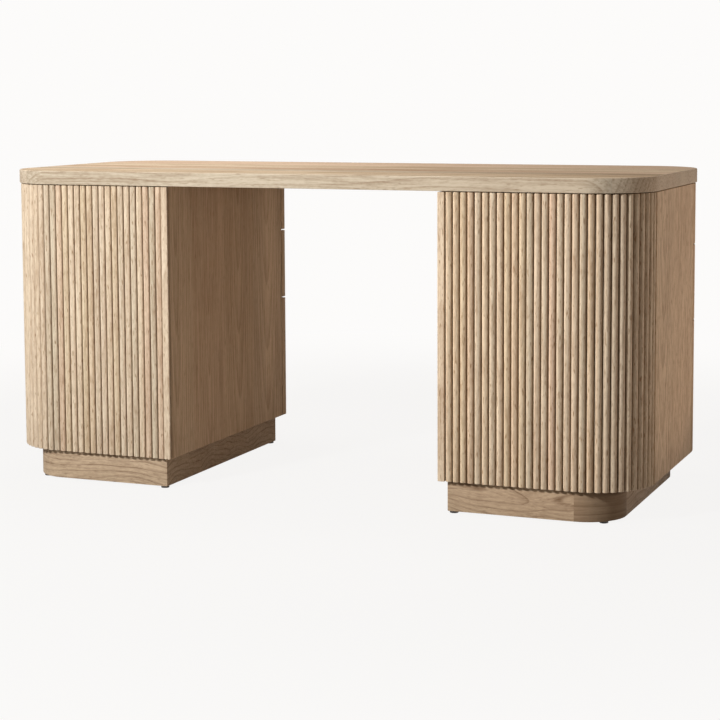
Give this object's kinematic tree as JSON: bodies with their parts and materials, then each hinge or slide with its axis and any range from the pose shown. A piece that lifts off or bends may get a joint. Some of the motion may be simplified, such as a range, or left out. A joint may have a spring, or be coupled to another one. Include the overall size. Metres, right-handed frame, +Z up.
{
  "type": "double-pedestal desk",
  "caption": "Desk with a rounded slab top on drawer pedestals; reeded fronts wrap the outer corners, plinths are recessed.",
  "frame": {"origin": "on the floor under the middle of the top", "axes": "+X along the desk, +Y towards the drawers and the sitter, -Y towards the reeded fronts, +Z up"},
  "size_m": [1.61, 0.676, 0.762],
  "materials": {
    "oak_veneer": "matt lacquered oak veneer",
    "reed_oak": "matt lacquered solid oak reeds",
    "case_wood": "veneered case panels",
    "drawer_wood": "clear finished plywood",
    "zinc_steel": "zinc plated",
    "screw_steel": "zinc plated",
    "dark_plastic": "moulded"
  },
  "bodies": {
    "case": {"desk_top": "oak_veneer", "right_inner_side": "oak_veneer", "right_outer_side": "oak_veneer", "right_reed_backing": "case_wood", "right_reeds": "reed_oak", "right_case_top": "case_wood", "right_case_bottom": "case_wood", "right_top_screws": "screw_steel", "right_plinth": "oak_veneer", "right_glides": "dark_plastic", "right_upper_slide_outer": "zinc_steel", "right_middle_slide_outer": "zinc_steel", "right_lower_slide_outer": "zinc_steel", "left_inner_side": "oak_veneer", "left_outer_side": "oak_veneer", "left_reed_backing": "case_wood", "left_reeds": "reed_oak", "left_case_top": "case_wood", "left_case_bottom": "case_wood", "left_top_screws": "screw_steel", "left_plinth": "oak_veneer", "left_glides": "dark_plastic", "left_upper_slide_outer": "zinc_steel", "left_middle_slide_outer": "zinc_steel", "left_lower_slide_outer": "zinc_steel"},
    "right_upper_drawer": {"right_upper_drawer_front": "oak_veneer", "right_upper_drawer_walls": "drawer_wood", "right_upper_drawer_bottom": "drawer_wood", "right_upper_slide_inner": "zinc_steel"},
    "right_upper_slide": {"right_upper_slide_middle": "zinc_steel"},
    "right_middle_drawer": {"right_middle_drawer_front": "oak_veneer", "right_middle_drawer_walls": "drawer_wood", "right_middle_drawer_bottom": "drawer_wood", "right_middle_slide_inner": "zinc_steel"},
    "right_middle_slide": {"right_middle_slide_middle": "zinc_steel"},
    "right_lower_drawer": {"right_lower_drawer_front": "oak_veneer", "right_lower_drawer_walls": "drawer_wood", "right_lower_drawer_bottom": "drawer_wood", "right_lower_slide_inner": "zinc_steel"},
    "right_lower_slide": {"right_lower_slide_middle": "zinc_steel"},
    "left_upper_drawer": {"left_upper_drawer_front": "oak_veneer", "left_upper_drawer_walls": "drawer_wood", "left_upper_drawer_bottom": "drawer_wood", "left_upper_slide_inner": "zinc_steel"},
    "left_upper_slide": {"left_upper_slide_middle": "zinc_steel"},
    "left_middle_drawer": {"left_middle_drawer_front": "oak_veneer", "left_middle_drawer_walls": "drawer_wood", "left_middle_drawer_bottom": "drawer_wood", "left_middle_slide_inner": "zinc_steel"},
    "left_middle_slide": {"left_middle_slide_middle": "zinc_steel"},
    "left_lower_drawer": {"left_lower_drawer_front": "oak_veneer", "left_lower_drawer_walls": "drawer_wood", "left_lower_drawer_bottom": "drawer_wood", "left_lower_slide_inner": "zinc_steel"},
    "left_lower_slide": {"left_lower_slide_middle": "zinc_steel"}
  },
  "joints": [
    {"name": "right_upper_drawer_slide", "type": "slide", "parent": "case", "child": "right_upper_drawer", "axis": [0, 1, 0], "range_m": [0, 0.36]},
    {"name": "right_upper_middle_slide", "type": "slide", "parent": "case", "child": "right_upper_slide", "axis": [0, 1, 0], "range_m": [0, 0.18]},
    {"name": "right_middle_drawer_slide", "type": "slide", "parent": "case", "child": "right_middle_drawer", "axis": [0, 1, 0], "range_m": [0, 0.36]},
    {"name": "right_middle_middle_slide", "type": "slide", "parent": "case", "child": "right_middle_slide", "axis": [0, 1, 0], "range_m": [0, 0.18]},
    {"name": "right_lower_drawer_slide", "type": "slide", "parent": "case", "child": "right_lower_drawer", "axis": [0, 1, 0], "range_m": [0, 0.36]},
    {"name": "right_lower_middle_slide", "type": "slide", "parent": "case", "child": "right_lower_slide", "axis": [0, 1, 0], "range_m": [0, 0.18]},
    {"name": "left_upper_drawer_slide", "type": "slide", "parent": "case", "child": "left_upper_drawer", "axis": [0, 1, 0], "range_m": [0, 0.36]},
    {"name": "left_upper_middle_slide", "type": "slide", "parent": "case", "child": "left_upper_slide", "axis": [0, 1, 0], "range_m": [0, 0.18]},
    {"name": "left_middle_drawer_slide", "type": "slide", "parent": "case", "child": "left_middle_drawer", "axis": [0, 1, 0], "range_m": [0, 0.36]},
    {"name": "left_middle_middle_slide", "type": "slide", "parent": "case", "child": "left_middle_slide", "axis": [0, 1, 0], "range_m": [0, 0.18]},
    {"name": "left_lower_drawer_slide", "type": "slide", "parent": "case", "child": "left_lower_drawer", "axis": [0, 1, 0], "range_m": [0, 0.36]},
    {"name": "left_lower_middle_slide", "type": "slide", "parent": "case", "child": "left_lower_slide", "axis": [0, 1, 0], "range_m": [0, 0.18]}
  ],
  "couplings": [
    {"joint": "right_upper_middle_slide", "follows": "right_upper_drawer_slide", "ratio": 0.5},
    {"joint": "right_middle_middle_slide", "follows": "right_middle_drawer_slide", "ratio": 0.5},
    {"joint": "right_lower_middle_slide", "follows": "right_lower_drawer_slide", "ratio": 0.5},
    {"joint": "left_upper_middle_slide", "follows": "left_upper_drawer_slide", "ratio": 0.5},
    {"joint": "left_middle_middle_slide", "follows": "left_middle_drawer_slide", "ratio": 0.5},
    {"joint": "left_lower_middle_slide", "follows": "left_lower_drawer_slide", "ratio": 0.5}
  ]
}
